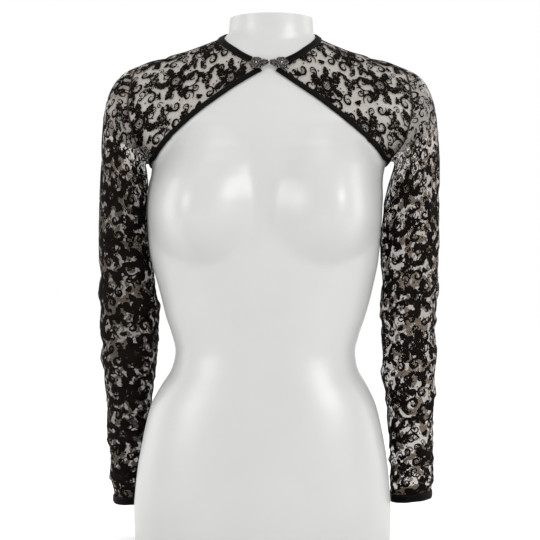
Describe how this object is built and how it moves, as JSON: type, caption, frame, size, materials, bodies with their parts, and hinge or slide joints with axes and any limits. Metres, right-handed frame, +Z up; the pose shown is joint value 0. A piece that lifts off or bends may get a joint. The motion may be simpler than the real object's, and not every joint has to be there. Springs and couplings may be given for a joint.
{
  "type": "sheer floral bolero jacket on a dress form",
  "caption": "Cropped sheer jacket with long empty sleeves, black bound edges and a throat clasp, worn by a plain limbless dress form.",
  "frame": {"origin": "middle of the dress form's flat base, on the surface it stands on", "axes": "+Z up, the wearer faces -Y, the wearer's right side is at -X"},
  "size_m": [0.4267, 0.243, 0.66],
  "materials": {
    "sheer_lace": "fine see-through net with a raised black flocked pattern",
    "black_binding": "narrow black satin-faced binding",
    "antique_metal": "dark antique silver casting",
    "form_gloss": "smooth off-white gloss"
  },
  "bodies": {
    "root": {"dress_form": "form_gloss", "front_right": "sheer_lace", "front_left": "sheer_lace", "back": "sheer_lace", "sleeve_right": "sheer_lace", "sleeve_left": "sheer_lace", "neck_binding": "black_binding", "hem_binding_right": "black_binding", "hem_binding_left": "black_binding", "hem_binding_back": "black_binding", "cuff_band_right": "black_binding", "cuff_band_left": "black_binding", "clasp_rosette_right": "antique_metal", "clasp_rosette_left": "antique_metal", "clasp_eye": "antique_metal", "clasp_hook": "antique_metal", "clasp_bar": "antique_metal"}
  },
  "joints": []
}
